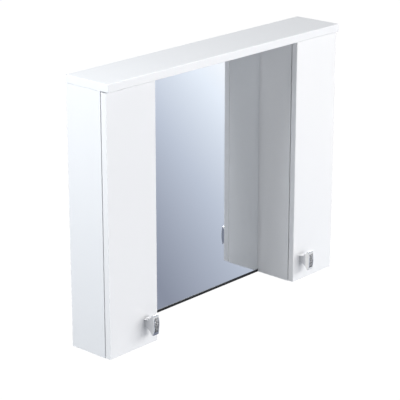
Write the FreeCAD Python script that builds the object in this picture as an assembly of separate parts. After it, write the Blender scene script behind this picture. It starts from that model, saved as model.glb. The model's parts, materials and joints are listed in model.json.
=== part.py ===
"""Wall-hung mirror cabinet: two narrow side cabinets, one top board and a mirror between them.

Millimetres. X runs along the width, -Y is the front, +Z is up, and the cabinet stands on Z = 0.
The left half is modelled in (u, v, z): u runs inward from the left outer face, v runs forward
from the front edges of the cabinet sides. The right half is its mirror image.
"""
import FreeCAD, Part
import os
from math import hypot

# Overall sizes
overall_width = 900.0
side_height = 698.0
cabinet_width = 172.0
side_depth = 115.0
side_thickness = 16.0
bottom_thickness = 16.0

# Top board
board_thickness = 22.0
board_overhang = 8.5
board_round = 2.0

# Back panel, let into rabbets of the outer sides and the top board
back_thickness = 3.0
back_gap = 0.5
back_rabbet_width = 11.0
back_rabbet_height = 10.0
back_screw_radius = 1.5
back_screw_head = 3.0
back_screw_length = 14.0
back_screw_margin = 60.0
back_screws_per_side = 4

# Mirror and the black angle trim along its lower edge
mirror_thickness = 4.0
mirror_clearance = 0.3
mirror_arris = 0.5
trim_thickness = 1.0
trim_height = 7.0

# Doors
door_thickness = 18.0
door_gap = 1.6
door_top_clearance = 2.0
door_bottom_clearance = 1.0
door_round = 1.5
door_back_round = 2.0

# Knobs: one section drawn from the side and extruded across the width
knob_width = 21.0
knob_height = 56.0
knob_projection = 34.5
knob_edge_projection = 30.5
knob_plate_back = 26.5
knob_stem_height = 19.0
knob_flare_height = 53.0
knob_flare_bow = 5.5
knob_round = 1.0
knob_from_inner_edge = 38.4
knob_from_door_bottom = 62.8
inlay_width = 15.0
inlay_height = 40.0
inlay_depth = 1.6
inlay_clearance = 0.15
inlay_setback = 0.4
knob_screw_radius = 2.0
knob_screw_head_radius = 4.0
knob_screw_head_height = 2.2
knob_screw_grip = 10.0
screw_clearance = 0.2

# Glass shelves on pins
shelf_thickness = 5.0
shelf_side_gap = 2.0
shelf_front_setback = 8.0
shelf_back_gap = 2.0
shelf_round = 1.0
shelf_pin_heights = (236.0, 462.0)
pin_row_setback = 27.0
pin_hole_pitch = 32.0
pin_hole_depth = 9.0
pin_radius = 2.5
pin_clearance = 0.1
pin_flange_radius = 3.5
pin_flange_thickness = 1.2
pin_peg_length = 8.0

# Concealed hinges: cup in the door, arm on the outer side
hinge_from_door_end = 100.0
cup_inset = 22.5
cup_radius = 17.4
cup_depth = 11.5
cup_wall = 1.0
cup_bore_clearance = 0.1
cup_bore_extra_depth = 1.0
cup_rim_width = 1.6
flange_thickness = 1.2
flange_length = 62.0
flange_width = 18.0
flange_offset = 6.0
flange_round = 6.0
cup_screw_spacing = 48.0
cup_notch_half_width = 6.75
cup_notch_depth = 8.5
cup_notch_reach = 8.0

# Hinge pivots: offset inward from the cup centre, depth in front of the door's back face
outer_cup_pivot = (-13.4, 5.4)
inner_cup_pivot = (-10.3, 2.3)
outer_arm_pivot = (7.3, 4.5)
inner_arm_pivot = (11.7, 4.5)
outer_link_bend = (-6.3, 8.1)
pivot_radius = 1.0
pivot_clearance = 0.12
loose_pivot_clearance = 1.8
link_half_width = 1.5
link_eye_radius = 2.1
loose_eye_wall = 0.9

# Hinge layers, measured along the pins from the middle of the hinge
inner_link_half = 3.6
layer_gap = 0.3
cup_lug_thickness = 1.2
outer_link_thickness = 1.2
cheek_thickness = 1.2

# Hinge arm and its mounting plate
arm_tip_radius = 2.0
arm_web = 1.2
arm_rear = 60.0
arm_shoulder = 12.0
arm_neck = 4.0
arm_lift = 4.5
plate_base = 2.5
plate_boss_height = 14.3
plate_setback = 37.0
plate_wing_length = 46.0
plate_wing_width = 14.0
plate_boss_front = 16.0
plate_boss_rear = 58.0
plate_screw_spacing = 32.0
arm_screw_setback = 48.0
small_screw_radius = 1.75
small_screw_head_radius = 3.4
small_screw_head_height = 1.6
small_screw_length = 11.0

# Door bumpers on the inner sides
bumper_radius = 4.0
bumper_clearance = 0.2
bumper_from_end = 40.0

# Keyhole hangers let into the upper corners of the back
hanger_width = 42.0
hanger_height = 62.0
hanger_thickness = 2.0
hanger_round = 4.0
hanger_top_gap = 9.0
hanger_clearance = 1.0
keyhole_inset = 30.0
keyhole_below_top = 48.0
keyhole_radius = 5.0
keyhole_slot_radius = 2.5
keyhole_slot_rise = 14.0
hanger_screw_spacing = 44.0
hanger_screw_length = 20.0

# Cam fittings and dowels that join the panels
cam_radius = 7.3
cam_length = 12.0
cam_clearance = 0.2
cam_to_joint = 24.0
cam_slot_radius = 3.8
cam_bolt_shank = 3.0
cam_bolt_head = 3.4
cam_bolt_head_length = 4.0
cam_bolt_thread = 3.2
cam_bolt_thread_length = 10.0
cam_setback = 28.0
dowel_radius = 4.0
dowel_length = 28.0
dowel_in_face = 10.0
dowel_clearance = 0.1

# Places worked out from the sizes above
total_depth = knob_projection + door_thickness + door_gap + side_depth + back_thickness
back_plane = total_depth / 2
carcass_back = back_plane - back_thickness
carcass_front = carcass_back - side_depth
door_back_v = door_gap
door_front_v = door_gap + door_thickness
door_bottom = door_bottom_clearance
door_top = side_height - door_top_clearance
inner_face = side_thickness
far_face = cabinet_width - side_thickness
rabbet_wall = side_thickness - back_rabbet_width
rabbet_middle = (rabbet_wall + side_thickness) / 2
hanger_edge = rabbet_wall + hanger_clearance
hinge_heights = {"lower": door_bottom + hinge_from_door_end, "upper": door_top - hinge_from_door_end}
lug_inner = inner_link_half + layer_gap
lug_outer = lug_inner + cup_lug_thickness
link_inner = lug_outer + layer_gap
link_outer = link_inner + outer_link_thickness
cheek_inner = link_outer + layer_gap
cheek_outer = cheek_inner + cheek_thickness
knob_u = cabinet_width - knob_from_inner_edge
knob_z = door_bottom + knob_from_door_bottom
mirror_front_v = -side_depth + mirror_thickness
pin_rows = (-pin_row_setback, -side_depth + pin_row_setback)
cam_rows = (-cam_setback, -side_depth + cam_setback)
dowel_row = -side_depth / 2
keyhole_z = side_height - keyhole_below_top


def at(u, v, z):
    """Point in the model's frame for a point of the left half."""
    return FreeCAD.Vector(u - overall_width / 2, carcass_front - v, z)


def mirrored(shape):
    return shape.mirror(FreeCAD.Vector(0, 0, 0), FreeCAD.Vector(1, 0, 0))


def block(u, v, z):
    """Box between pairs of u, v and z."""
    corner = at(u[0], v[1], z[0])
    return Part.makeBox(u[1] - u[0], v[1] - v[0], z[1] - z[0], corner)


def rod(radius, start, end):
    """Round bar between two points given in (u, v, z)."""
    axis = at(*end) - at(*start)
    return Part.makeCylinder(radius, axis.Length, at(*start), axis)


def cone(start_radius, end_radius, start, end):
    axis = at(*end) - at(*start)
    return Part.makeCone(start_radius, end_radius, axis.Length, at(*start), axis)


def plate(outline, z0, z1):
    """Flat plate from an outline of (u, v) points."""
    points = [at(u, v, z0) for u, v in outline]
    face = Part.Face(Part.makePolygon(points + points[:1]))
    return face.extrude(FreeCAD.Vector(0, 0, z1 - z0))


def strap(points, half_width, z0, z1):
    """Flat strap with round ends and bends along (u, v) points."""
    shape = None
    for u, v in points:
        disc = rod(half_width, (u, v, z0), (u, v, z1))
        shape = disc if shape is None else shape.fuse(disc)
    for (u0, v0), (u1, v1) in zip(points, points[1:]):
        side_u = -(v1 - v0) / hypot(u1 - u0, v1 - v0) * half_width
        side_v = (u1 - u0) / hypot(u1 - u0, v1 - v0) * half_width
        outline = [(u0 + side_u, v0 + side_v), (u1 + side_u, v1 + side_v),
                   (u1 - side_u, v1 - side_v), (u0 - side_u, v0 - side_v)]
        shape = shape.fuse(plate(outline, z0, z1))
    return shape.removeSplitter()


def rounded(shape, radius, chosen):
    """Rounds the edges whose middle point passes the test."""
    edges = [edge for edge in shape.Edges if chosen(edge.CenterOfMass)]
    return shape.makeFillet(radius, edges)


def both_sides(shape):
    return [shape, mirrored(shape)]


def countersunk_screw(head_point, tip_point, radius, head_radius, head_height):
    """Screw with its flat head at head_point, as one solid."""
    start, end = FreeCAD.Vector(*head_point), FreeCAD.Vector(*tip_point)
    inward = (end - start).normalize()
    under_head = start + inward * head_height
    head = cone(head_radius, radius, tuple(start), tuple(under_head))
    shank = rod(radius, tuple(under_head), tuple(end))
    return head.fuse(shank).removeSplitter()


def pivot(offset):
    """A hinge pivot's (u, v), from its offset to the cup centre and the door's back face."""
    return cup_inset + offset[0], door_back_v + offset[1]


# Panels

def cam_places_in_side():
    return [(v, side_height - cam_to_joint) for v in cam_rows]


def pin_heights_with_spares():
    return [z + step * pin_hole_pitch for z in shelf_pin_heights for step in (-1, 0, 1)]


def side_panel(near, far, inside, outward):
    """One upright: near and far faces in u, the face towards the shelves and the way out of it."""
    shape = block((near, far), (-side_depth, 0), (0, side_height))
    middle = (near + far) / 2
    holes = []
    for v in pin_rows:
        for z in pin_heights_with_spares():
            holes.append(rod(pin_radius, (inside, v, z), (inside - outward * pin_hole_depth, v, z)))
    for v, z in cam_places_in_side():
        cam_end = inside - outward * (cam_length + cam_clearance)
        holes.append(rod(cam_radius + cam_clearance, (inside, v, z), (cam_end, v, z)))
        holes.append(rod(cam_slot_radius, (middle, v, z), (middle, v, side_height)))
        bolt_end = inside - outward * (cam_bolt_thread_length + cam_clearance)
        bolt_z = bottom_thickness / 2
        holes.append(rod(cam_bolt_thread + cam_clearance, (inside, v, bolt_z), (bolt_end, v, bolt_z)))
    dowel_hole = dowel_radius + dowel_clearance
    dowel_rest = dowel_length - dowel_in_face + dowel_clearance
    holes.append(rod(dowel_hole, (middle, dowel_row, side_height - dowel_rest),
                     (middle, dowel_row, side_height)))
    holes.append(rod(dowel_hole, (inside, dowel_row, bottom_thickness / 2),
                     (inside - outward * (dowel_in_face + dowel_clearance), dowel_row, bottom_thickness / 2)))
    return shape.cut(holes + back_screw_list())


def outer_side():
    """Outer upright, with a lip behind it that covers the back panel's edge."""
    lip = block((0, rabbet_wall), (-side_depth - back_thickness, -side_depth), (0, side_height))
    shape = side_panel(0, side_thickness, inner_face, 1).fuse(lip).removeSplitter()
    holes = [plate_screw(z, sign) for z in hinge_heights.values() for sign in (-1, 1)]
    holes += hanger_screw_list()
    return shape.cut(holes)


def inner_side():
    return side_panel(far_face, cabinet_width, far_face, -1)


def bottom_panel():
    shape = block((inner_face, far_face), (-side_depth, 0), (0, bottom_thickness))
    middle = bottom_thickness / 2
    holes = []
    for end, inward in ((inner_face, 1), (far_face, -1)):
        for v in cam_rows:
            u = end + inward * cam_to_joint
            holes.append(rod(cam_radius + cam_clearance, (u, v, 0), (u, v, cam_length + cam_clearance)))
            holes.append(rod(cam_slot_radius, (end, v, middle), (u, v, middle)))
        reach = end + inward * (dowel_length - dowel_in_face + dowel_clearance)
        hole_radius = dowel_radius + dowel_clearance
        holes.append(rod(hole_radius, (end, dowel_row, middle), (reach, dowel_row, middle)))
    return shape.cut(holes)


def top_board():
    half = overall_width / 2
    front = carcass_front - door_front_v - board_overhang
    depth = back_plane - front
    corner = FreeCAD.Vector(-half, front, side_height)
    shape = Part.makeBox(overall_width, depth, board_thickness, corner)
    shape = rounded(shape, board_round, lambda point: point.y < back_plane - depth / 4)
    rabbet = Part.makeBox(overall_width - 2 * rabbet_wall, back_thickness, back_rabbet_height,
                          FreeCAD.Vector(rabbet_wall - half, carcass_back, side_height))
    holes = []
    for middle in (side_thickness / 2, cabinet_width - side_thickness / 2):
        for v in cam_rows:
            top = side_height + cam_bolt_thread_length + cam_clearance
            holes.append(rod(cam_bolt_thread + cam_clearance, (middle, v, side_height), (middle, v, top)))
        top = side_height + dowel_in_face + dowel_clearance
        holes.append(rod(dowel_radius + dowel_clearance, (middle, dowel_row, side_height),
                         (middle, dowel_row, top)))
    cuts = [rabbet]
    for hole in holes:
        cuts += both_sides(hole)
    return shape.cut(cuts)


def back_panel():
    half = overall_width / 2 - rabbet_wall - back_gap
    height = side_height + back_rabbet_height - trim_thickness
    corner = FreeCAD.Vector(-half, carcass_back, trim_thickness)
    shape = Part.makeBox(2 * half, back_thickness, height, corner)
    notch_top = side_height + back_rabbet_height
    notch_low = side_height - hanger_top_gap - hanger_height - hanger_clearance
    notch = block((0, hanger_edge + hanger_width + hanger_clearance),
                  (-side_depth - back_thickness, -side_depth), (notch_low, notch_top))
    cuts = both_sides(notch)
    for screw in back_screw_list():
        cuts += both_sides(screw)
    return shape.cut(cuts)


def back_screw_heights():
    top = side_height - hanger_top_gap - hanger_height - back_screw_margin
    step = (top - back_screw_margin) / (back_screws_per_side - 1)
    return [back_screw_margin + step * count for count in range(back_screws_per_side)]


def back_screw_list():
    screws = []
    head_v = -side_depth - back_thickness
    tip_v = -side_depth + back_screw_length
    for u in (rabbet_middle, cabinet_width - side_thickness / 2):
        for z in back_screw_heights():
            screws.append(countersunk_screw((u, head_v, z), (u, tip_v, z), back_screw_radius,
                                            back_screw_head, back_screw_head - back_screw_radius))
    return screws


# Mirror

def mirror_glass():
    width = overall_width - 2 * cabinet_width - 2 * mirror_clearance
    front = carcass_back - mirror_thickness
    shape = Part.makeBox(width, mirror_thickness, side_height - trim_thickness,
                         FreeCAD.Vector(-width / 2, front, trim_thickness))
    edges = [edge for edge in shape.Edges if abs(edge.CenterOfMass.y - front) < mirror_arris / 2]
    return shape.makeChamfer(mirror_arris, edges)


def mirror_trim():
    """Angle section: a lip in front of the glass and a leg under the glass and the back panel."""
    width = overall_width - 2 * cabinet_width - 2 * mirror_clearance
    lip_front = mirror_front_v + trim_thickness
    outline = [(lip_front, 0), (lip_front, trim_height), (mirror_front_v, trim_height),
               (mirror_front_v, trim_thickness), (-side_depth - back_thickness, trim_thickness),
               (-side_depth - back_thickness, 0)]
    start = cabinet_width + mirror_clearance
    points = [at(start, v, z) for v, z in outline]
    face = Part.Face(Part.makePolygon(points + points[:1]))
    return face.extrude(FreeCAD.Vector(width, 0, 0))


# Shelves

def shelf(pin_z):
    low = pin_z + pin_radius
    near, far = inner_face + shelf_side_gap, far_face - shelf_side_gap
    back, front = -side_depth + shelf_back_gap, -shelf_front_setback
    shape = block((near, far), (back, front), (low, low + shelf_thickness))
    behind_front = carcass_front + shelf_front_setback + shelf_round
    return rounded(shape, shelf_round, lambda point: point.y < behind_front)


def shelf_pins():
    pins = []
    for inside, inward in ((inner_face, 1), (far_face, -1)):
        for v in pin_rows:
            for z in shelf_pin_heights:
                seat = inside - inward * (pin_hole_depth - pin_clearance)
                flange = inside + inward * pin_flange_thickness
                tip = inside + inward * pin_peg_length
                pin = rod(pin_radius - pin_clearance, (seat, v, z), (inside, v, z))
                pin = pin.fuse(rod(pin_radius, (inside, v, z), (tip, v, z)))
                collar = rod(pin_flange_radius, (inside, v, z), (flange, v, z))
                pins.append(pin.fuse(collar).removeSplitter())
    return Part.makeCompound(pins)


# Doors and knobs

def door():
    shape = block((0, cabinet_width), (door_back_v, door_front_v), (door_bottom, door_top))
    front_y = carcass_front - door_front_v
    back_y = carcass_front - door_back_v
    shape = rounded(shape, door_round, lambda point: point.y < front_y + door_round / 2)
    shape = rounded(shape, door_back_round, lambda point: point.y > back_y - door_back_round / 2)
    cuts = []
    for z in hinge_heights.values():
        bore_end = door_back_v + cup_depth + cup_bore_extra_depth
        bore_radius = cup_radius + cup_bore_clearance
        cuts.append(rod(bore_radius, (cup_inset, door_back_v, z), (cup_inset, bore_end, z)))
        cuts += [cup_screw(z, sign) for sign in (-1, 1)]
    cuts.append(rod(knob_screw_radius + screw_clearance, (knob_u, door_back_v, knob_z),
                    (knob_u, door_front_v, knob_z)))
    return shape.cut(cuts)


def knob_point(u, projection, height):
    return at(u, door_front_v + projection, knob_z + height)


def knob_section(u):
    """Side profile of the knob: a short stem flaring to a bowed face plate."""
    stem, flare, top = knob_stem_height / 2, knob_flare_height / 2, knob_height / 2
    half_flare = (stem + flare) / 2 - knob_flare_bow

    def p(projection, height):
        return knob_point(u, projection, height)

    edges = [Part.LineSegment(p(0, -stem), p(0, stem)),
             Part.Arc(p(0, stem), p(knob_plate_back / 2, half_flare), p(knob_plate_back, flare)),
             Part.LineSegment(p(knob_plate_back, flare), p(knob_plate_back, top)),
             Part.LineSegment(p(knob_plate_back, top), p(knob_edge_projection, top)),
             Part.Arc(p(knob_edge_projection, top), p(knob_projection, 0), p(knob_edge_projection, -top)),
             Part.LineSegment(p(knob_edge_projection, -top), p(knob_plate_back, -top)),
             Part.LineSegment(p(knob_plate_back, -top), p(knob_plate_back, -flare)),
             Part.Arc(p(knob_plate_back, -flare), p(knob_plate_back / 2, -half_flare), p(0, -stem))]
    return Part.Wire([edge.toShape() for edge in edges])


def face_bow_radius():
    rise = knob_projection - knob_edge_projection
    half = knob_height / 2
    return (half * half + rise * rise) / (2 * rise)


def inlay_block(clearance, front_offset):
    """Part of the bowed face that the inlay fills, as a slab between two arcs."""
    radius = face_bow_radius()
    centre = knob_projection - radius
    half_width = inlay_width / 2 - clearance
    half_height = inlay_height / 2 - clearance
    span = rod(radius - front_offset, (knob_u - half_width, door_front_v + centre, knob_z),
               (knob_u + half_width, door_front_v + centre, knob_z))
    core = rod(radius - inlay_depth + clearance, (knob_u - knob_width, door_front_v + centre, knob_z),
               (knob_u + knob_width, door_front_v + centre, knob_z))
    window = block((knob_u - half_width, knob_u + half_width),
                   (door_front_v, door_front_v + knob_projection + inlay_depth),
                   (knob_z - half_height, knob_z + half_height))
    return span.cut(core).common(window)


def knob():
    face = Part.Face(knob_section(knob_u - knob_width / 2))
    shape = face.extrude(FreeCAD.Vector(knob_width, 0, 0))
    plate_y = carcass_front - door_front_v - knob_plate_back - knob_round
    shape = rounded(shape, knob_round, lambda point: point.y < plate_y)
    pocket = inlay_block(0, -inlay_depth)
    screw_hole = rod(knob_screw_radius + screw_clearance, (knob_u, door_front_v, knob_z),
                     (knob_u, door_front_v + knob_screw_grip + screw_clearance, knob_z))
    return shape.cut([pocket, screw_hole])


def knob_inlay():
    return inlay_block(inlay_clearance, inlay_setback)


def knob_screw():
    head = rod(knob_screw_head_radius, (knob_u, door_back_v - knob_screw_head_height, knob_z),
               (knob_u, door_back_v, knob_z))
    shank = rod(knob_screw_radius, (knob_u, door_back_v, knob_z),
                (knob_u, door_front_v + knob_screw_grip, knob_z))
    return head.fuse(shank).removeSplitter()


# Concealed hinges

def cup_screw(z, sign):
    u = cup_inset + flange_offset
    head_v = door_back_v - flange_thickness
    place = z + sign * cup_screw_spacing / 2
    return countersunk_screw((u, head_v, place), (u, head_v + small_screw_length, place),
                             small_screw_radius, small_screw_head_radius, small_screw_head_height)


def cup_flange(z):
    """Pressed flange on the door's back: a rim round the cup and two ears for the screws."""
    outer_v = door_back_v - flange_thickness
    rim = rod(cup_radius + cup_rim_width, (cup_inset, outer_v, z), (cup_inset, door_back_v, z))
    ear_u = cup_inset + flange_offset
    ears = block((ear_u - flange_width / 2, ear_u + flange_width / 2), (outer_v, door_back_v),
                 (z - flange_length / 2, z + flange_length / 2))
    ends = flange_length / 2 - flange_round / 2
    ears = rounded(ears, flange_round,
                   lambda point: abs(point.z - z) > ends and abs(point.x - at(ear_u, 0, 0).x) > flange_round)
    return rim.fuse(ears)


def hinge_cup(z):
    """Steel cup with lugs that hold the pivots, notched where the links leave it."""
    end = door_back_v + cup_depth
    mouth = door_back_v - flange_thickness
    shell = rod(cup_radius, (cup_inset, door_back_v, z), (cup_inset, end, z))
    shell = shell.fuse(cup_flange(z))
    shell = shell.cut(rod(cup_radius - cup_wall, (cup_inset, mouth, z), (cup_inset, end - cup_wall, z)))
    body = rod(cup_radius - cup_wall / 2, (cup_inset, door_back_v, z), (cup_inset, end - cup_wall / 2, z))
    notch = block((0, cup_inset - cup_notch_reach), (mouth, door_back_v + cup_notch_depth),
                  (z - cup_notch_half_width, z + cup_notch_half_width))
    shell = shell.cut(notch)
    lugs = []
    layers = ((inner_cup_pivot, lug_inner, lug_outer), (outer_cup_pivot, cheek_inner, cheek_outer))
    for offset, near, far in layers:
        u, v = pivot(offset)
        for sign in (-1, 1):
            low, high = sorted((z + sign * near, z + sign * far))
            lug = strap([(u, v), (u, end - cup_wall)], link_eye_radius, low, high).common(body)
            lugs.append(lug)
    shell = shell.fuse(lugs)
    holes = cup_pin_list(z, pivot_clearance) + [cup_screw(z, sign) for sign in (-1, 1)]
    return shell.cut(holes).removeSplitter()


def stub_pins(offset, z, clearance):
    """Short pins on both sides that carry the outer links."""
    u, v = pivot(offset)
    pins = []
    for sign in (-1, 1):
        start, end = z + sign * link_inner, z + sign * cheek_outer
        pins.append(rod(pivot_radius + clearance, (u, v, start), (u, v, end)))
    return pins


def long_pin(offset, z, reach, clearance):
    """Pin through the inner link, as far as reach above and below the hinge's middle."""
    u, v = pivot(offset)
    return rod(pivot_radius + clearance, (u, v, z - reach), (u, v, z + reach))


def cup_pin_list(z, clearance):
    return [long_pin(inner_cup_pivot, z, lug_outer, clearance)] + stub_pins(outer_cup_pivot, z, clearance)


def arm_pin_list(z, clearance):
    return [long_pin(inner_arm_pivot, z, cheek_outer, clearance)] + stub_pins(outer_arm_pivot, z, clearance)


def arm_outline():
    """Side of the arm: flat over the mounting plate, then a neck that reaches into the cup."""
    back_u, top_u = inner_face + arm_lift, inner_face + plate_boss_height + arm_web
    inner_u, inner_v = pivot(inner_arm_pivot)
    outer_u, outer_v = pivot(outer_arm_pivot)
    return [(back_u, -arm_rear), (top_u, -arm_rear), (top_u, -arm_shoulder),
            (inner_u + arm_tip_radius, -arm_neck), (inner_u + arm_tip_radius, inner_v),
            (outer_u - arm_tip_radius, outer_v), (outer_u - arm_tip_radius, -arm_neck),
            (back_u, -arm_shoulder)]


def hinge_arm(z):
    """Folded steel arm: two cheeks that carry the pivots, joined by a web over the plate."""
    outline = arm_outline()
    inner, outer = pivot(inner_arm_pivot), pivot(outer_arm_pivot)
    shape = None
    for sign in (-1, 1):
        low, high = sorted((z + sign * cheek_inner, z + sign * cheek_outer))
        cheek = plate(outline, low, high).fuse(strap([inner, outer], arm_tip_radius, low, high))
        shape = cheek if shape is None else shape.fuse(cheek)
    top_u = inner_face + plate_boss_height + arm_web
    web = plate([(top_u - arm_web, -arm_rear), (top_u, -arm_rear), (top_u, -arm_shoulder),
                 (top_u - arm_web, -arm_shoulder)], z - cheek_inner, z + cheek_inner)
    shape = shape.fuse(web).removeSplitter()
    return shape.cut(arm_pin_list(z, pivot_clearance) + [arm_screw(z)])


def plate_screw(z, sign):
    u = inner_face + plate_base
    place = z + sign * plate_screw_spacing / 2
    return countersunk_screw((u, -plate_setback, place), (u - small_screw_length, -plate_setback, place),
                             small_screw_radius, small_screw_head_radius, small_screw_head_height)


def arm_screw(z):
    """Screw through the arm's web into the plate's boss."""
    u = inner_face + plate_boss_height + arm_web
    return countersunk_screw((u, -arm_screw_setback, z), (u - small_screw_length, -arm_screw_setback, z),
                             small_screw_radius, small_screw_head_radius, arm_web)


def hinge_plate(z):
    """Cross-shaped mounting plate with a boss that the arm sits on."""
    wing = block((inner_face, inner_face + plate_base),
                 (-plate_setback - plate_wing_width / 2, -plate_setback + plate_wing_width / 2),
                 (z - plate_wing_length / 2, z + plate_wing_length / 2))
    wing_y = at(0, -plate_setback, 0).y
    wing = rounded(wing, plate_wing_width / 3,
                   lambda point: abs(point.z - z) > plate_wing_length / 3
                   and abs(point.y - wing_y) > plate_wing_width / 3)
    half = cheek_inner - layer_gap
    boss = block((inner_face, inner_face + plate_boss_height), (-plate_boss_rear, -plate_boss_front),
                 (z - half, z + half))
    screws = [plate_screw(z, -1), plate_screw(z, 1), arm_screw(z)]
    return wing.fuse(boss).removeSplitter().cut(screws)


def outer_links(z):
    """Pair of bent straps from the arm to the cup; they carry the door."""
    path = [pivot(outer_arm_pivot), pivot(outer_link_bend), pivot(outer_cup_pivot)]
    links = []
    for sign in (-1, 1):
        low, high = sorted((z + sign * link_inner, z + sign * link_outer))
        link = strap(path, link_half_width, low, high)
        holes = []
        for u, v in (path[0], path[-1]):
            link = link.fuse(rod(link_eye_radius, (u, v, low), (u, v, high)))
            holes.append(rod(pivot_radius + pivot_clearance, (u, v, low), (u, v, high)))
        links.append(link.removeSplitter().cut(holes))
    return links


def inner_link(z):
    """Bar between the straps, with a loose eye at the cup."""
    arm_end, cup_end = pivot(inner_arm_pivot), pivot(inner_cup_pivot)
    low, high = z - inner_link_half, z + inner_link_half
    loose_hole = pivot_radius + loose_pivot_clearance
    link = strap([arm_end, cup_end], link_half_width, low, high)
    link = link.fuse(rod(link_eye_radius, (*arm_end, low), (*arm_end, high)))
    link = link.fuse(rod(loose_hole + loose_eye_wall, (*cup_end, low), (*cup_end, high)))
    holes = [rod(pivot_radius + pivot_clearance, (*arm_end, low), (*arm_end, high)),
             rod(loose_hole, (*cup_end, low), (*cup_end, high))]
    return link.removeSplitter().cut(holes)


# Bumpers and hangers

def door_bumpers():
    u = cabinet_width - side_thickness / 2
    reach = door_gap - bumper_clearance
    dots = []
    for z in (bumper_from_end, side_height - bumper_from_end):
        dot = cone(bumper_radius, bumper_radius - reach / 2, (u, 0, z), (u, reach, z))
        dots.append(dot)
    return Part.makeCompound(dots)


def hanger_plate():
    """Steel plate on the rear edge of the outer side, with a keyhole for the wall screw."""
    back, front = -side_depth - hanger_thickness, -side_depth
    top = side_height - hanger_top_gap
    shape = block((hanger_edge, hanger_edge + hanger_width), (back, front), (top - hanger_height, top))
    middle = at(hanger_edge + hanger_width / 2, 0, top - hanger_height / 2)
    shape = rounded(shape, hanger_round, lambda point: abs(point.x - middle.x) > hanger_width / 3
                    and abs(point.z - middle.z) > hanger_height / 3)
    slot_top = keyhole_z + keyhole_slot_rise
    cuts = [rod(keyhole_radius, (keyhole_inset, back, keyhole_z), (keyhole_inset, front, keyhole_z)),
            rod(keyhole_slot_radius, (keyhole_inset, back, slot_top), (keyhole_inset, front, slot_top)),
            block((keyhole_inset - keyhole_slot_radius, keyhole_inset + keyhole_slot_radius),
                  (back, front), (keyhole_z, slot_top))]
    return shape.cut(cuts + hanger_screw_list())


def hanger_screw_list():
    middle = side_height - hanger_top_gap - hanger_height / 2
    back = -side_depth - hanger_thickness
    screws = []
    for sign in (-1, 1):
        z = middle + sign * hanger_screw_spacing / 2
        tip = back + hanger_screw_length
        screws.append(countersunk_screw((rabbet_middle, back, z), (rabbet_middle, tip, z), small_screw_radius,
                                        small_screw_head_radius, small_screw_head_height))
    return screws


# Cam fittings and dowels

def cam_joint(cam_start, cam_end, joint, bolt_end):
    """One cam housing and the bolt that it draws in, from points on their axes."""
    axis = FreeCAD.Vector(*bolt_end) - FreeCAD.Vector(*joint)
    away = axis.normalize()
    face = FreeCAD.Vector(*joint)
    centre = face - away * cam_to_joint
    head_end = centre - away * (cam_bolt_head_length / 2)
    head_start = centre + away * (cam_bolt_head_length / 2)
    bolt = rod(cam_bolt_head, tuple(head_end), tuple(head_start))
    bolt = bolt.fuse(rod(cam_bolt_shank, tuple(head_start), tuple(face)))
    bolt = bolt.fuse(rod(cam_bolt_thread, tuple(face), bolt_end)).removeSplitter()
    cam = rod(cam_radius, cam_start, cam_end)
    slot_end = centre - away * cam_slot_radius
    slot = rod(cam_slot_radius, tuple(slot_end), tuple(face))
    return cam.cut(slot), bolt


def cam_fittings():
    """Cam housings and bolts of the left half: sides to top board, bottom panel to sides."""
    cams, bolts = [], []
    for near, inside, outward in ((0, inner_face, 1), (far_face, far_face, -1)):
        middle = near + side_thickness / 2
        for v in cam_rows:
            z = side_height - cam_to_joint
            pair = cam_joint((inside, v, z), (inside - outward * cam_length, v, z), (middle, v, side_height),
                             (middle, v, side_height + cam_bolt_thread_length))
            cams.append(pair[0])
            bolts.append(pair[1])
            u, low = inside + outward * cam_to_joint, bottom_thickness / 2
            pair = cam_joint((u, v, 0), (u, v, cam_length), (inside, v, low),
                             (inside - outward * cam_bolt_thread_length, v, low))
            cams.append(pair[0])
            bolts.append(pair[1])
    return cams, bolts


def dowels():
    rods = []
    for near, inside, outward in ((0, inner_face, 1), (far_face, far_face, -1)):
        middle, low = near + side_thickness / 2, bottom_thickness / 2
        top = side_height + dowel_in_face
        rods.append(rod(dowel_radius, (middle, dowel_row, top - dowel_length), (middle, dowel_row, top)))
        start = inside - outward * dowel_in_face
        end = start + outward * dowel_length
        rods.append(rod(dowel_radius, (start, dowel_row, low), (end, dowel_row, low)))
    return rods


def left_half():
    """Every node that the left half has, by its name without the side."""
    heights = list(hinge_heights.values())
    parts = {
        "outer_side": outer_side(),
        "inner_side": inner_side(),
        "bottom_panel": bottom_panel(),
        "shelf_lower": shelf(shelf_pin_heights[0]),
        "shelf_upper": shelf(shelf_pin_heights[1]),
        "shelf_pins": shelf_pins(),
        "door": door(),
        "knob": knob(),
        "knob_inlay": knob_inlay(),
        "knob_screw": knob_screw(),
        "hinge_outer_links": Part.makeCompound([link for z in heights for link in outer_links(z)]),
        "hinge_inner_links": Part.makeCompound([inner_link(z) for z in heights]),
        "hinge_cup_pins": Part.makeCompound([pin for z in heights for pin in cup_pin_list(z, 0)]),
        "hinge_arm_pins": Part.makeCompound([pin for z in heights for pin in arm_pin_list(z, 0)]),
        "hinge_cup_screws": Part.makeCompound([cup_screw(z, sign) for z in heights for sign in (-1, 1)]),
        "hinge_plate_screws": Part.makeCompound([plate_screw(z, sign) for z in heights for sign in (-1, 1)]),
        "hinge_arm_screws": Part.makeCompound([arm_screw(z) for z in heights]),
        "door_bumpers": door_bumpers(),
        "hanger_plate": hanger_plate(),
    }
    for place, z in hinge_heights.items():
        parts[place + "_hinge_cup"] = hinge_cup(z)
        parts[place + "_hinge_arm"] = hinge_arm(z)
        parts[place + "_hinge_plate"] = hinge_plate(z)
    return parts


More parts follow.
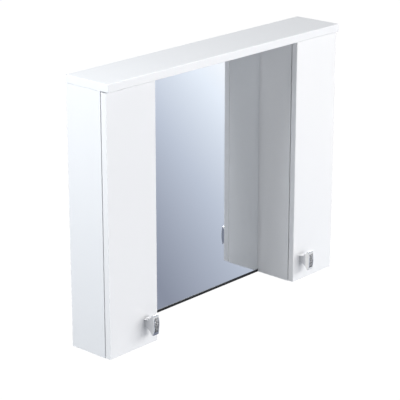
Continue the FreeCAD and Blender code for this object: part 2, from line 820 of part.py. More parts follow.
def whole():
    """All nodes of the cabinet by name."""
    cams, bolts = cam_fittings()
    nodes = {
        "top_board": top_board(),
        "back_panel": back_panel(),
        "mirror_glass": mirror_glass(),
        "mirror_trim": mirror_trim(),
    }
    groups = {"cam_housings": cams, "cam_bolts": bolts, "dowels": dowels(),
              "hanger_screws": hanger_screw_list(), "back_panel_screws": back_screw_list()}
    for name, solids in groups.items():
        nodes[name] = Part.makeCompound([side for solid in solids for side in both_sides(solid)])
    for name, shape in left_half().items():
        nodes["left_" + name] = shape
        nodes["right_" + name] = mirrored(shape)
    return nodes


def main():
    os.makedirs("parts", exist_ok=True)
    for name, shape in whole().items():
        shape.exportStep("parts/" + name + ".step")


if __name__ == "__main__":
    main()
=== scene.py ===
"""Looks of a wall-hung mirror cabinet: finishes, small fittings, stage, light and camera. Metres."""
import json
from math import atan, cos, pi, radians, sin, sqrt

import bmesh
import bpy
from mathutils import Matrix, Vector

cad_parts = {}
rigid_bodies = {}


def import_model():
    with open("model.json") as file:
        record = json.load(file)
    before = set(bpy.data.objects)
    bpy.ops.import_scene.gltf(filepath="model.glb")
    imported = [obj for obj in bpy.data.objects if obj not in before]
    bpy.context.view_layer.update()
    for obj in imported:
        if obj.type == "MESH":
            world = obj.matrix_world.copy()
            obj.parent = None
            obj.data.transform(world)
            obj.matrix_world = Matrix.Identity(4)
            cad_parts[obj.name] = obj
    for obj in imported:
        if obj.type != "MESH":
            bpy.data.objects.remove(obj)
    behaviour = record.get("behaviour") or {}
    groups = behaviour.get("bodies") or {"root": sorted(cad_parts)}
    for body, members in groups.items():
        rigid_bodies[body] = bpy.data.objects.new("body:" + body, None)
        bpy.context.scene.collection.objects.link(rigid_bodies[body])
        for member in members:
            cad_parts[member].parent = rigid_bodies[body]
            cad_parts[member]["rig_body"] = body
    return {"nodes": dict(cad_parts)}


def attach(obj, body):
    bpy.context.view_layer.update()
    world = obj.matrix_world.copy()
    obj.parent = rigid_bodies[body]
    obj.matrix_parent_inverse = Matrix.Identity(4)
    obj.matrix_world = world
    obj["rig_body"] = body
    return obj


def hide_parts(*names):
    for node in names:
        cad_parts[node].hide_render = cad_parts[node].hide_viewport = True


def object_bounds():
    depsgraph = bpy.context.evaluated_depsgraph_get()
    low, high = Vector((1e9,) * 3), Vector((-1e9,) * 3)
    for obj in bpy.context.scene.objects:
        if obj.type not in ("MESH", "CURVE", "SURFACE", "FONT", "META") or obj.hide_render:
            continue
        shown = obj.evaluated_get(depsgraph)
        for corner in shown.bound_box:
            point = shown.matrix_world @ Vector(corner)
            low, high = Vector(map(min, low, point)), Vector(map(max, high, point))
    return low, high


MM = 0.001

# Camera: place, heading right of +Y, pitch below the horizon, focal length and sensor in millimetres
CAMERA_PLACE = (-3.1332, -2.7864, 1.7126)
CAMERA_HEADING = radians(47.83)
CAMERA_PITCH = radians(18.57)
CAMERA_LENS = 148.64
SENSOR_WIDTH = 36.0

# Lamps: name, place, target, width and height, power in watts and colour
LAMPS = (
    ("lamp_left", (-2.4, 0.3, 2.0), (-0.45, 0.05, 0.35), (1.3, 1.3), 72.5, (0.945, 0.975, 1.0)),
    ("lamp_front", (4.7, -9.2, 4.4), (0.0, -0.05, 0.4), (16.0, 4.6), 1475.0, (1.0, 0.995, 0.99)),
)
AMBIENT = (0.112, 0.12, 0.134)

# Floor: the cabinet hangs on a wall, so the floor lies well below it
FLOOR_DROP = 1.2
FLOOR_HALF = 60.0
FLOOR_COLOUR = (0.62, 0.63, 0.65, 1.0)
FLOOR_ROUGHNESS = 0.9
BACKGROUND_SHARE = 0.92
BACKGROUND_STRENGTH = 1.09
BACKDROP_WHITE = (1.0, 1.0, 1.0)

# Painted shade on the floor: a strip that runs outward on either side in front, in a near and a far
# stretch.
# The near stretch is a painted shadow close to the cabinet, the far one a dark patch painted for the
# mirror and the knobs to reflect. Its shades go from the darkest to white; each span gives where it
# is gone and where it is full.
PAINTED_SHADES = ((0.0, (0.225, 0.25, 0.325)), (0.33, (0.48, 0.53, 0.635)),
          (0.67, (0.78, 0.84, 0.93)), (0.97, (1.0, 1.0, 1.0)))
PAINTED_SHADE_WAY = (0.805, 0.593, 0.0)
PAINTED_SHADE_SPAN = (2.0, 0.5)
STRIP_HEADING = radians(47.4)
STRIP_MIDDLE = -0.075
STRIP_HALF_WIDTHS = (1.3, 0.38)
NEAR_START = (0.2, 0.9)
NEAR_END = (2.2, 1.2)
FAR_START = (1.5, 2.9)
FAR_END = (11.5, 7.9)

# Blue grey far in front, on the floor and low in the surroundings
FRONT_COLOUR = (0.62, 0.68, 0.78)
FRONT_FLOOR_SPAN = (-9.0, -40.0)
FRONT_WAY_SPAN = (-0.5, -0.95)
FRONT_RISE_SPAN = (0.5, 0.0)

# Finishes: whites of the boards, the middle of a noise's range, and a grain with no stretch
BOARD_WHITES = ((0.845, 0.852, 0.868), (0.868, 0.874, 0.886))
NOISE_SPAN = (0.3, 0.7)
EVEN = (1.0, 1.0, 1.0)

# Colour sockets of Blender's Mix node
MIX_FACTOR, MIX_FIRST, MIX_SECOND, MIX_RESULT = 0, 6, 7, 2

# Corners of a square, in turn
SQUARE = ((0, 0), (1, 0), (1, 1), (0, 1))

# Knob inlay: cut stones, the flat share of each, its rise, and how far it stands out of the plate
STONE_COLUMNS = 3
STONE_ROWS = 8
STONE_TABLE = 0.42
STONE_RISE = 0.6 * MM
STONE_STANDOUT = 0.25 * MM

# Screws: the cross recess in shares of the head's radius, and the nodes with screws on either side
SCREW_SIDES = 24
RECESS_REACH = 0.62
RECESS_HALF_WIDTH = 0.17
RECESS_DEPTH = 0.38
RECESS_TAPER = 0.72
DOOR_SCREWS = ("hinge_cup_screws", "hinge_plate_screws", "hinge_arm_screws", "knob_screw")

# Cam caps: shares of the radius with heights in millimetres, and where the outer sides begin
CAP_RADIUS = 8.6 * MM
CAP_PROFILE = ((1.0, 0.0), (0.985, 0.3), (0.9, 0.75), (0.55, 1.1), (0.2, 1.2))
CAP_SIDES = 40
OUTER_SHARE = 0.4

# Distances within which points count as one, or as lying at an end or a step of a solid, and the
# decimals that tell a screw's depths apart
PIECE_WELD = 1e-6
NODE_WELD = 1e-5
INLAY_END = 0.1 * MM
SCREW_END = 0.05 * MM
SCREW_STEP = 0.2 * MM
DEPTH_DECIMALS = 5

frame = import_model()
cad_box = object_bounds()
nodes = frame["nodes"]


# Finishes

class Graph:
    """Shorthand for adding and linking the nodes of one shader tree."""

    def __init__(self, tree):
        self.tree = tree

    def put(self, node, socket, value):
        """Links a socket to an input, or sets the input to a number or a colour."""
        if isinstance(value, bpy.types.NodeSocket):
            self.tree.links.new(value, node.inputs[socket])
        else:
            node.inputs[socket].default_value = value

    def add(self, kind, sockets=None, **settings):
        node = self.tree.nodes.new("ShaderNode" + kind)
        for key, value in settings.items():
            setattr(node, key, value)
        for socket, value in (sockets or {}).items():
            self.put(node, socket, value)
        return node

    def spread(self, value, low, high):
        """Number that runs from low to high as the value goes from 0 to 1."""
        node = self.add("MapRange", {"Value": value, "To Min": low, "To Max": high})
        return node.outputs["Result"]

    def between(self, noise, low, high):
        """Number that runs from low to high over the middle of a noise's range."""
        start, end = NOISE_SPAN
        node = self.add("MapRange", {"Value": noise, "From Min": start, "From Max": end,
                                     "To Min": low, "To Max": high})
        return node.outputs["Result"]

    def step(self, value, start, end, course="LINEAR"):
        """0 before start, 1 after end."""
        sockets = {"Value": value, "From Min": start, "From Max": end}
        return self.add("MapRange", sockets, interpolation_type=course).outputs["Result"]

    def soft_step(self, value, start, end):
        """The same, with a gentle start and end."""
        return self.step(value, start, end, "SMOOTHSTEP")

    def math(self, operation, first, second=0.0):
        node = self.add("Math", {0: first, 1: second}, operation=operation)
        return node.outputs["Value"]

    def product(self, *values):
        result = values[0]
        for value in values[1:]:
            result = self.math("MULTIPLY", result, value)
        return result

    def blend(self, factor, first, second):
        """Colour that goes from first to second; either is a colour or a socket."""
        node = self.add("Mix", {MIX_FACTOR: factor}, data_type="RGBA")
        for socket, value in ((MIX_FIRST, first), (MIX_SECOND, second)):
            colour = value if isinstance(value, bpy.types.NodeSocket) else (*value, 1.0)
            self.put(node, socket, colour)
        return node.outputs[MIX_RESULT]

    def seen_directly(self):
        """1 for rays that show the background: from the camera, from gloss or through glass."""
        path = self.add("LightPath").outputs
        seen = self.math("MAXIMUM", path["Is Camera Ray"], path["Is Glossy Ray"])
        seen = self.math("MAXIMUM", seen, path["Is Transmission Ray"])
        unscattered = self.math("LESS_THAN", path["Diffuse Depth"], 0.5)
        return self.product(seen, unscattered)


class Finish(Graph):
    """A procedural material round one Principled shader."""

    def __init__(self, name, sockets):
        self.material = bpy.data.materials.new(name)
        self.material.use_nodes = True
        super().__init__(self.material.node_tree)
        self.shader = self.tree.nodes["Principled BSDF"]
        for socket, value in sockets.items():
            self.feed(socket, value)

    def feed(self, socket, value):
        self.put(self.shader, socket, value)

    def place(self, stretch=EVEN):
        """Rest position of the surface in metres, stretched for grain."""
        coordinates = self.add("TexCoord")
        mapping = self.add("Mapping", {"Vector": coordinates.outputs["Object"], "Scale": stretch})
        return mapping.outputs["Vector"]

    def facing(self):
        """Rest direction of the surface as separate x, y and z."""
        split = self.add("SeparateXYZ", {"Vector": self.add("TexCoord").outputs["Normal"]})
        return split.outputs

    def noise(self, scale, detail=2.0, stretch=EVEN):
        node = self.add("TexNoise", {"Vector": self.place(stretch), "Scale": scale, "Detail": detail})
        return node.outputs["Fac"]

    def cells(self, scale):
        return self.add("TexVoronoi", {"Vector": self.place(), "Scale": scale}).outputs

    def patches(self, scale):
        """A number of its own for every cell."""
        colour = self.cells(scale)["Color"]
        return self.add("SeparateColor", {"Color": colour}).outputs["Red"]

    def bump(self, height, depth):
        node = self.add("Bump", {"Height": height, "Distance": depth})
        self.feed("Normal", node.outputs["Normal"])
        return node.outputs["Normal"]


def white_laminate():
    """Satin board with a fine pearl grain; drilled holes show the chipboard inside."""
    finish = Finish("white_laminate", {"Specular IOR Level": 0.45})
    grain = finish.noise(scale=1400.0, detail=3.0)
    cloud = finish.noise(scale=5.0)
    white = finish.blend(cloud, *BOARD_WHITES)
    chips = finish.cells(scale=420.0)["Distance"]
    chipboard = finish.blend(chips, (0.42, 0.31, 0.19), (0.66, 0.54, 0.38))
    x, y, z = [finish.math("MULTIPLY", part, part) for part in finish.facing()]
    flatness = finish.math("MAXIMUM", finish.math("MAXIMUM", x, y), z)
    flat = finish.step(flatness, 0.97, 0.985)
    finish.feed("Base Color", finish.blend(flat, chipboard, white))
    finish.feed("Roughness", finish.between(grain, 0.30, 0.40))
    finish.bump(grain, depth=0.04 * MM)
    return finish.material


def edged_board():
    """The same board with its edges rounded and banded, for the top board."""
    finish = Finish("edged_board", {"Specular IOR Level": 0.22})
    grain = finish.noise(scale=1400.0, detail=3.0)
    cloud = finish.noise(scale=5.0)
    finish.feed("Base Color", finish.blend(cloud, *BOARD_WHITES))
    finish.feed("Roughness", finish.between(grain, 0.28, 0.36))
    finish.bump(grain, depth=0.03 * MM)
    return finish.material


def white_lacquer():
    """High-gloss lacquer with a slight orange peel."""
    finish = Finish("white_lacquer", {"Coat Weight": 1.0, "Coat Roughness": 0.02, "Coat IOR": 1.6,
                                      "Specular IOR Level": 0.3})
    peel = finish.noise(scale=220.0, detail=1.0)
    cloud = finish.noise(scale=4.0)
    white = finish.blend(cloud, (0.852, 0.855, 0.866), (0.872, 0.875, 0.884))
    finish.feed("Base Color", white)
    finish.feed("Roughness", finish.between(cloud, 0.30, 0.38))
    finish.feed("Coat Normal", finish.bump(peel, depth=0.012 * MM))
    return finish.material


def mirror_silver():
    """Silvered float glass: a mirror in front, green polished edges and grey paint behind."""
    finish = Finish("mirror_silver", {})
    facing_y = finish.facing()[1]
    front = finish.step(facing_y, -0.55, -0.65)
    behind = finish.step(facing_y, 0.90, 0.95)
    haze = finish.noise(scale=9.0, detail=4.0)
    silver = finish.blend(haze, (0.93, 0.945, 0.955), (0.95, 0.96, 0.968))
    edge = finish.blend(finish.noise(scale=60.0), (0.50, 0.66, 0.60), (0.62, 0.76, 0.70))
    paint = finish.blend(finish.noise(scale=300.0), (0.30, 0.31, 0.33), (0.36, 0.37, 0.39))
    finish.feed("Base Color", finish.blend(front, finish.blend(behind, edge, paint), silver))
    finish.feed("Metallic", front)
    finish.feed("Roughness", finish.spread(behind, 0.012, 0.55))
    return finish.material


def black_trim():
    """Matt black strip under the mirror."""
    finish = Finish("black_trim", {"Specular IOR Level": 0.2})
    grain = finish.noise(scale=900.0, detail=3.0)
    finish.feed("Base Color", finish.blend(grain, (0.003, 0.0035, 0.005), (0.007, 0.0075, 0.01)))
    finish.feed("Roughness", finish.between(grain, 0.38, 0.52))
    finish.bump(grain, depth=0.06 * MM)
    return finish.material


def chrome():
    """Bright plating with faint smears."""
    finish = Finish("chrome", {"Metallic": 1.0})
    smear = finish.noise(scale=120.0, detail=4.0)
    finish.feed("Base Color", finish.blend(smear, (0.65, 0.66, 0.675), (0.71, 0.715, 0.725)))
    finish.feed("Roughness", finish.between(smear, 0.05, 0.11))
    finish.bump(finish.noise(scale=700.0), depth=0.004 * MM)
    return finish.material


def cut_stone():
    """Dark glass stones of the inlay, speckled from dark to light."""
    finish = Finish("cut_stone", {"Metallic": 0.3, "Specular IOR Level": 0.3})
    speckle = finish.patches(scale=340.0)
    finish.feed("Base Color", finish.blend(speckle, (0.015, 0.016, 0.019), (0.40, 0.405, 0.42)))
    finish.feed("Roughness", finish.between(finish.noise(scale=500.0), 0.10, 0.20))
    return finish.material


def plated_steel(name, low, high, rough, stretch):
    """Plated steel with the fine lines that pressing leaves."""
    finish = Finish(name, {"Metallic": 1.0})
    lines = finish.noise(scale=260.0, detail=4.0, stretch=stretch)
    finish.feed("Base Color", finish.blend(lines, low, high))
    finish.feed("Roughness", finish.between(lines, *rough))
    finish.bump(lines, depth=0.02 * MM)
    return finish.material


def shelf_glass():
    """Clear float glass with green edges."""
    finish = Finish("shelf_glass", {"Transmission Weight": 1.0, "IOR": 1.5})
    upright = finish.math("ABSOLUTE", finish.facing()[2])
    edge = finish.blend(finish.noise(scale=40.0), (0.36, 0.66, 0.55), (0.48, 0.76, 0.66))
    face = finish.blend(finish.noise(scale=12.0), (0.93, 0.975, 0.96), (0.955, 0.985, 0.975))
    finish.feed("Base Color", finish.blend(finish.step(upright, 0.5, 0.9), edge, face))
    finish.feed("Roughness", finish.spread(upright, 0.12, 0.015))
    return finish.material


def hardboard():
    """Pressed fibre board: white on the room's side, brown fibres on the wall's side."""
    finish = Finish("hardboard", {"Specular IOR Level": 0.35})
    room = finish.step(finish.facing()[1], -0.5, -0.9)
    fibres = finish.noise(scale=330.0, detail=5.0, stretch=(1.0, 1.0, 0.45))
    blotch = finish.noise(scale=9.0, detail=3.0)
    brown = finish.blend(fibres, (0.165, 0.098, 0.052), (0.36, 0.235, 0.135))
    worn = finish.blend(blotch, (0.20, 0.125, 0.07), (0.30, 0.20, 0.12))
    brown = finish.blend(finish.step(fibres, 0.35, 0.75), brown, worn)
    white = finish.blend(blotch, (0.835, 0.84, 0.85), (0.865, 0.87, 0.88))
    finish.feed("Base Color", finish.blend(room, brown, white))
    finish.feed("Roughness", finish.between(fibres, 0.42, 0.62))
    finish.bump(fibres, depth=0.1 * MM)
    return finish.material


def beech():
    """Plain wood of the dowels, with its grain along Z."""
    finish = Finish("beech", {})
    rings = finish.noise(scale=180.0, detail=4.0, stretch=(1.0, 1.0, 0.12))
    finish.feed("Base Color", finish.blend(rings, (0.50, 0.33, 0.19), (0.68, 0.50, 0.32)))
    finish.feed("Roughness", finish.between(rings, 0.5, 0.65))
    finish.bump(rings, depth=0.1 * MM)
    return finish.material


def silicone():
    """Milky rubber of the door bumpers."""
    finish = Finish("silicone", {"Subsurface Weight": 0.3, "Subsurface Scale": 2.0 * MM})
    cloud = finish.noise(scale=300.0)
    finish.feed("Base Color", finish.blend(cloud, (0.70, 0.715, 0.72), (0.78, 0.79, 0.795)))
    finish.feed("Roughness", finish.between(cloud, 0.32, 0.42))
    return finish.material


def white_plastic():
    """Moulded caps: a little warmer and rougher than the board."""
    finish = Finish("white_plastic", {"Specular IOR Level": 0.5})
    grain = finish.noise(scale=700.0)
    finish.feed("Base Color", finish.blend(grain, (0.82, 0.825, 0.83), (0.845, 0.85, 0.855)))
    finish.feed("Roughness", finish.between(grain, 0.35, 0.45))
    finish.bump(grain, depth=0.03 * MM)
    return finish.material


FINISHES = {
    "laminate": white_laminate(),
    "board": edged_board(),
    "lacquer": white_lacquer(),
    "mirror": mirror_silver(),
    "trim": black_trim(),
    "chrome": chrome(),
    "stone": cut_stone(),
    "hinge": plated_steel("hinge_steel", low=(0.54, 0.53, 0.51), high=(0.68, 0.67, 0.64),
                          rough=(0.20, 0.34), stretch=(1.0, 1.0, 0.06)),
    "zinc": plated_steel("zinc", low=(0.46, 0.47, 0.49), high=(0.60, 0.61, 0.63),
                         rough=(0.34, 0.5), stretch=EVEN),
    "glass": shelf_glass(),
    "hardboard": hardboard(),
    "beech": beech(),
    "silicone": silicone(),
    "plastic": white_plastic(),
}

NODE_FINISHES = {
    "top_board": "board", "outer_side": "laminate", "inner_side": "laminate",
    "bottom_panel": "laminate", "back_panel": "hardboard", "mirror_glass": "mirror",
    "mirror_trim": "trim", "door": "lacquer", "knob": "chrome", "knob_inlay": "stone",
    "knob_screw": "zinc", "shelf_lower": "glass", "shelf_upper": "glass", "shelf_pins": "zinc",
    "hinge_cup": "hinge", "hinge_arm": "hinge", "hinge_plate": "hinge",
    "hinge_outer_links": "hinge", "hinge_inner_links": "hinge", "hinge_cup_pins": "zinc",
    "hinge_arm_pins": "zinc", "hinge_cup_screws": "zinc", "hinge_plate_screws": "zinc",
    "hinge_arm_screws": "zinc", "hanger_plate": "zinc", "hanger_screws": "zinc",
    "back_panel_screws": "zinc", "door_bumpers": "silicone", "cam_housings": "zinc",
    "cam_bolts": "zinc", "dowels": "beech",
}


def plain_name(node):
    """Node name without its side and its height on the door."""
    for prefix in ("left_", "right_", "lower_", "upper_"):
        node = node.removeprefix(prefix)
    return node


def dress_nodes():
    for name, item in nodes.items():
        finish = FINISHES[NODE_FINISHES[plain_name(name)]]
        item.data.materials.clear()
        item.data.materials.append(finish)


# Pieces

def add_piece(name, mesh, body, finish):
    """Turns a bmesh into a piece that rides on a body."""
    bmesh.ops.remove_doubles(mesh, verts=mesh.verts, dist=PIECE_WELD)
    bmesh.ops.recalc_face_normals(mesh, faces=mesh.faces)
    data = bpy.data.meshes.new(name)
    mesh.to_mesh(data)
    mesh.free()
    data.materials.append(FINISHES[finish])
    piece = bpy.data.objects.new(name, data)
    bpy.context.scene.collection.objects.link(piece)
    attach(piece, body)
    return piece


def islands(node):
    """Point lists of the separate solids in a node."""
    mesh = bmesh.new()
    mesh.from_mesh(nodes[node].data)
    bmesh.ops.remove_doubles(mesh, verts=mesh.verts, dist=NODE_WELD)
    met = set()
    found = []
    for start in mesh.verts:
        if start in met:
            continue
        met.add(start)
        queue = [start]
        solid = []
        while queue:
            vert = queue.pop()
            solid.append(vert.co.copy())
            for edge in vert.link_edges:
                other = edge.other_vert(vert)
                if other not in met:
                    met.add(other)
                    queue.append(other)
        found.append(solid)
    mesh.free()
    return found


def box_of(points):
    low = Vector([min(p[i] for p in points) for i in range(3)])
    high = Vector([max(p[i] for p in points) for i in range(3)])
    return low, high


def bridge(mesh, first, second):
    """Faces between two rings of as many points."""
    for i in range(len(first)):
        j = (i + 1) % len(first)
        mesh.faces.new((first[i], first[j], second[j], second[i]))


def stone_inlay(side):
    """Grid of cut stones that follows the bow of the knob's face."""
    node = side + "_knob_inlay"
    points = islands(node)[0]
    low, high = box_of(points)
    half = (high.z - low.z) / 2
    edge_front = min(p.y for p in points if p.z > high.z - INLAY_END)
    rise = edge_front - low.y
    radius = (half * half + rise * rise) / (2 * rise)
    centre_y = low.y + radius
    centre_z = (low.z + high.z) / 2
    crown = radius + STONE_STANDOUT
    foot = crown - STONE_RISE
    back = radius - (high.y - low.y - rise)
    reach = atan(half / sqrt(radius * radius - half * half))
    width = high.x - low.x
    mesh = bmesh.new()

    def point(across, along, distance):
        angle = (along - 0.5) * 2 * reach
        return mesh.verts.new((low.x + across * width, centre_y - distance * cos(angle),
                               centre_z + distance * sin(angle)))

    for row in range(STONE_ROWS):
        for column in range(STONE_COLUMNS):
            corners = [((column + a) / STONE_COLUMNS, (row + b) / STONE_ROWS) for a, b in SQUARE]
            middle = ((column + 0.5) / STONE_COLUMNS, (row + 0.5) / STONE_ROWS)
            table = [tuple(m + (c - m) * STONE_TABLE for c, m in zip(corner, middle))
                     for corner in corners]
            outer_ring = [point(*corner, foot) for corner in corners]
            inner_ring = [point(*corner, crown) for corner in table]
            mesh.faces.new(inner_ring)
            bridge(mesh, outer_ring, inner_ring)
            mesh.faces.new([point(*corner, back) for corner in corners])
            borders = (row == 0, column == STONE_COLUMNS - 1, row == STONE_ROWS - 1, column == 0)
            for i, border in enumerate(borders):
                if border:
                    first, second = corners[i], corners[(i + 1) % len(corners)]
                    wall = ((first, foot), (second, foot), (second, back), (first, back))
                    mesh.faces.new([point(*corner, distance) for corner, distance in wall])
    piece = add_piece(side + "_stone_inlay", mesh, side + "_door_leaf", "stone")
    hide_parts(node)


def turn_to(axis, sign):
    """Rotation that sends local +Z along the given frame axis."""
    way = Vector((0, 0, 0))
    way[axis] = sign
    return way.to_track_quat("Z", "Y").to_matrix().to_4x4()


def off_axis(point, centre, axis):
    """How far a point lies from the line through the centre along an axis."""
    return sqrt(sum((point[i] - centre[i]) ** 2 for i in range(3) if i != axis))


def screw_profile(points, axis, start, sign, centre):
    """Pairs of depth and radius from the head to the tip, read from the solid."""
    radii = {}
    for p in points:
        depth = round((p[axis] - start) * sign, DEPTH_DECIMALS)
        radii.setdefault(depth, []).append(off_axis(p, centre, axis))
    profile = []
    for depth in sorted(radii):
        wide, narrow = max(radii[depth]), min(radii[depth])
        profile.append((depth, wide))
        if wide - narrow > SCREW_STEP:
            profile.append((depth, narrow))
    return profile


def cross_outline(size):
    """Points of a cross recess for a head of the given radius."""
    reach, half = RECESS_REACH * size, RECESS_HALF_WIDTH * size
    arm = [(reach, -half), (reach, half), (half, half)]
    turned = []
    for quarter in range(4):
        c, s = cos(quarter * pi / 2), sin(quarter * pi / 2)
        turned += [(x * c - y * s, x * s + y * c) for x, y in arm]
    return turned


def ring(mesh, radius, height, sides):
    angles = [2 * pi * i / sides for i in range(sides)]
    return [mesh.verts.new((radius * cos(angle), radius * sin(angle), height)) for angle in angles]


def loop_edges(mesh, verts):
    pairs = zip(verts, verts[1:] + verts[:1])
    return [mesh.edges.get(pair) or mesh.edges.new(pair) for pair in pairs]


def screw_mesh(mesh, profile):
    """Screw along +Z with its head's face at 0 and a cross recess in it."""
    rings = [ring(mesh, radius, depth, SCREW_SIDES) for depth, radius in profile]
    for first, second in zip(rings, rings[1:]):
        bridge(mesh, first, second)
    mesh.faces.new(rings[-1])
    head = profile[0][1]
    depth = RECESS_DEPTH * head
    mouth = [mesh.verts.new((x, y, 0.0)) for x, y in cross_outline(head)]
    floor = [mesh.verts.new((x, y, depth)) for x, y in cross_outline(head * RECESS_TAPER)]
    bridge(mesh, mouth, floor)
    mesh.faces.new(floor)
    edges = loop_edges(mesh, rings[0]) + loop_edges(mesh, mouth)
    bmesh.ops.triangle_fill(mesh, use_beauty=True, edges=edges)


def recessed_screws(node):
    """Screws with a cross recess in place of the node's plain ones."""
    whole = bmesh.new()
    for points in islands(node):
        low, high = box_of(points)
        size = high - low
        axis = max(range(3), key=lambda i: size[i])
        centre = (low + high) / 2

        def end_radius(place):
            return max(off_axis(p, centre, axis) for p in points if abs(p[axis] - place) < SCREW_END)

        sign = 1 if end_radius(low[axis]) > end_radius(high[axis]) else -1
        start = low[axis] if sign > 0 else high[axis]
        head = centre.copy()
        head[axis] = start
        turn = Matrix.Translation(head) @ turn_to(axis, sign)
        single = bmesh.new()
        screw_mesh(single, screw_profile(points, axis, start, sign, centre))
        bmesh.ops.transform(single, matrix=turn, verts=single.verts)
        part = bpy.data.meshes.new("screw")
        single.to_mesh(part)
        single.free()
        whole.from_mesh(part)
        bpy.data.meshes.remove(part)
    piece = add_piece(node + "_recessed", whole, nodes[node]["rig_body"], "zinc")
    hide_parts(node)


def cam_caps():
    """Domed caps over the upper cam housings, inside the side cabinets."""
    low_corner, high_corner = cad_box
    half_height = (low_corner.z + high_corner.z) / 2
    outer_from = (high_corner.x - low_corner.x) * OUTER_SHARE
    mesh = bmesh.new()
    for points in islands("cam_housings"):
        low, high = box_of(points)
        if high.z < half_height:
            continue
        centre = (low + high) / 2
        outer = abs(centre.x) > outer_from
        inward = (-1 if centre.x > 0 else 1) * (1 if outer else -1)
        face = Vector((high.x if inward > 0 else low.x, centre.y, centre.z))
        turn = Matrix.Translation(face) @ turn_to(0, inward)
        rings = [ring(mesh, CAP_RADIUS * share, height * MM, CAP_SIDES)
                 for share, height in CAP_PROFILE]
        for first, second in zip(rings, rings[1:]):
            bridge(mesh, first, second)
        mesh.faces.new(rings[0])
        mesh.faces.new(rings[-1])
        bmesh.ops.transform(mesh, matrix=turn, verts=[v for one in rings for v in one])
    piece = add_piece("cam_caps", mesh, "carcass", "plastic")
    piece.data.shade_smooth()


def add_pieces():
    for side in ("left", "right"):
        stone_inlay(side)
        for screws in DOOR_SCREWS:
            recessed_screws(f"{side}_{screws}")
    recessed_screws("hanger_screws")
    recessed_screws("back_panel_screws")
    cam_caps()


# Stage, light and camera

def floor_material():
    """White floor with a strip of painted shade, which the mirror and knobs reflect, the same left
    and right.
    """
    finish = Finish("floor", {"Base Color": FLOOR_COLOUR, "Roughness": FLOOR_ROUGHNESS,
                              "Specular IOR Level": 0.0})
    position = finish.add("NewGeometry").outputs["Position"]
    x, y, z = finish.add("SeparateXYZ", {"Vector": position}).outputs
    sideways = finish.math("ABSOLUTE", x)
    folded = finish.add("CombineXYZ", {"X": sideways, "Y": y, "Z": z}).outputs["Vector"]

    def measured(way):
        node = finish.add("VectorMath", {0: folded, 1: way}, operation="DOT_PRODUCT")
        return node.outputs["Value"]

    across = measured((cos(STRIP_HEADING), sin(STRIP_HEADING), 0.0))
    outward = measured((sin(STRIP_HEADING), -cos(STRIP_HEADING), 0.0))
    off_middle = finish.math("ABSOLUTE", finish.math("SUBTRACT", across, STRIP_MIDDLE))
    # Painted shade: a near stretch, a painted shadow close to the cabinet, and a far stretch for the
    # mirror to reflect
    stretches = [finish.product(finish.soft_step(outward, *start), finish.soft_step(outward, *end))
                 for start, end in ((NEAR_START, NEAR_END), (FAR_START, FAR_END))]
    depth = finish.product(finish.step(measured(PAINTED_SHADE_WAY), *PAINTED_SHADE_SPAN),
                           finish.soft_step(off_middle, *STRIP_HALF_WIDTHS),
                           finish.math("MAXIMUM", *stretches))
    # Colours of the painted shade, from the darkest to white
    ramp = finish.add("ValToRGB", {"Fac": finish.math("SUBTRACT", 1.0, depth)})
    stops = ramp.color_ramp.elements
    while len(stops) < len(PAINTED_SHADES):
        stops.new(0.5)
    for stop, (along, shade) in zip(stops, PAINTED_SHADES):
        stop.position = along
        stop.color = (*shade, 1.0)
    far_front = finish.soft_step(y, *FRONT_FLOOR_SPAN)
    colour = finish.blend(far_front, ramp.outputs["Color"], FRONT_COLOUR)
    glow = finish.add("Emission", {"Color": colour, "Strength": BACKGROUND_STRENGTH})
    share = finish.product(finish.seen_directly(), BACKGROUND_SHARE)
    mix = finish.add("MixShader", {0: share, 1: finish.shader.outputs["BSDF"],
                                   2: glow.outputs["Emission"]})
    output = finish.tree.nodes["Material Output"]
    finish.tree.links.new(mix.outputs["Shader"], output.inputs["Surface"])
    return finish.material


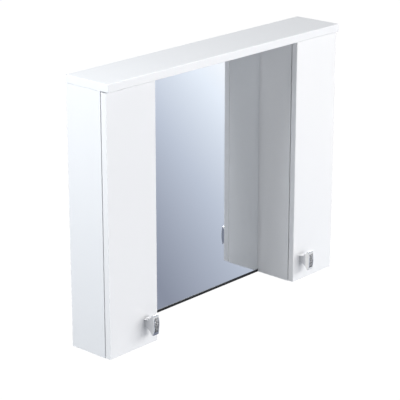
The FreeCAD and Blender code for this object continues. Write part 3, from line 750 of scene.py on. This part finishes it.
def add_floor():
    mesh = bmesh.new()
    corners = [((2 * a - 1) * FLOOR_HALF, (2 * b - 1) * FLOOR_HALF, -FLOOR_DROP) for a, b in SQUARE]
    mesh.faces.new([mesh.verts.new(corner) for corner in corners])
    data = bpy.data.meshes.new("floor")
    mesh.to_mesh(data)
    mesh.free()
    data.materials.append(floor_material())
    floor = bpy.data.objects.new("floor", data)
    bpy.context.scene.collection.objects.link(floor)


def add_world():
    """White surroundings, blue grey low in front, and a dim even light for what they light."""
    world = bpy.data.worlds.new("surroundings")
    world.use_nodes = True
    graph = Graph(world.node_tree)
    way = graph.add("TexCoord").outputs["Generated"]
    _, y, z = graph.add("SeparateXYZ", {"Vector": way}).outputs
    front = graph.product(graph.soft_step(y, *FRONT_WAY_SPAN), graph.soft_step(z, *FRONT_RISE_SPAN))
    colour = graph.blend(front, BACKDROP_WHITE, FRONT_COLOUR)
    backdrop = graph.add("Background", {"Color": colour})
    ambient = graph.tree.nodes["Background"]
    ambient.inputs["Color"].default_value = (*AMBIENT, 1.0)
    mix = graph.add("MixShader", {0: graph.seen_directly(), 1: ambient.outputs["Background"],
                                  2: backdrop.outputs["Background"]})
    output = graph.tree.nodes["World Output"]
    graph.tree.links.new(mix.outputs["Shader"], output.inputs["Surface"])
    bpy.context.scene.world = world


def add_lamp(name, place, target, size, power, colour):
    """Soft panel of the given width and height that faces its target."""
    data = bpy.data.lights.new(name, "AREA")
    data.shape = "RECTANGLE"
    data.size, data.size_y = size
    data.energy = power
    data.color = colour
    lamp = bpy.data.objects.new(name, data)
    lamp.location = place
    lamp.rotation_mode = "QUATERNION"
    lamp.rotation_quaternion = (Vector(target) - Vector(place)).to_track_quat("-Z", "Y")
    bpy.context.scene.collection.objects.link(lamp)


def add_camera():
    data = bpy.data.cameras.new("camera")
    data.sensor_width = SENSOR_WIDTH
    data.lens = CAMERA_LENS
    camera = bpy.data.objects.new("camera", data)
    camera.location = CAMERA_PLACE
    camera.rotation_euler = (pi / 2 - CAMERA_PITCH, 0.0, -CAMERA_HEADING)
    bpy.context.scene.collection.objects.link(camera)
    bpy.context.scene.camera = camera


dress_nodes()
add_pieces()
add_floor()
add_world()
for lamp in LAMPS:
    add_lamp(*lamp)
add_camera()
bpy.context.scene.view_settings.view_transform = "Standard"
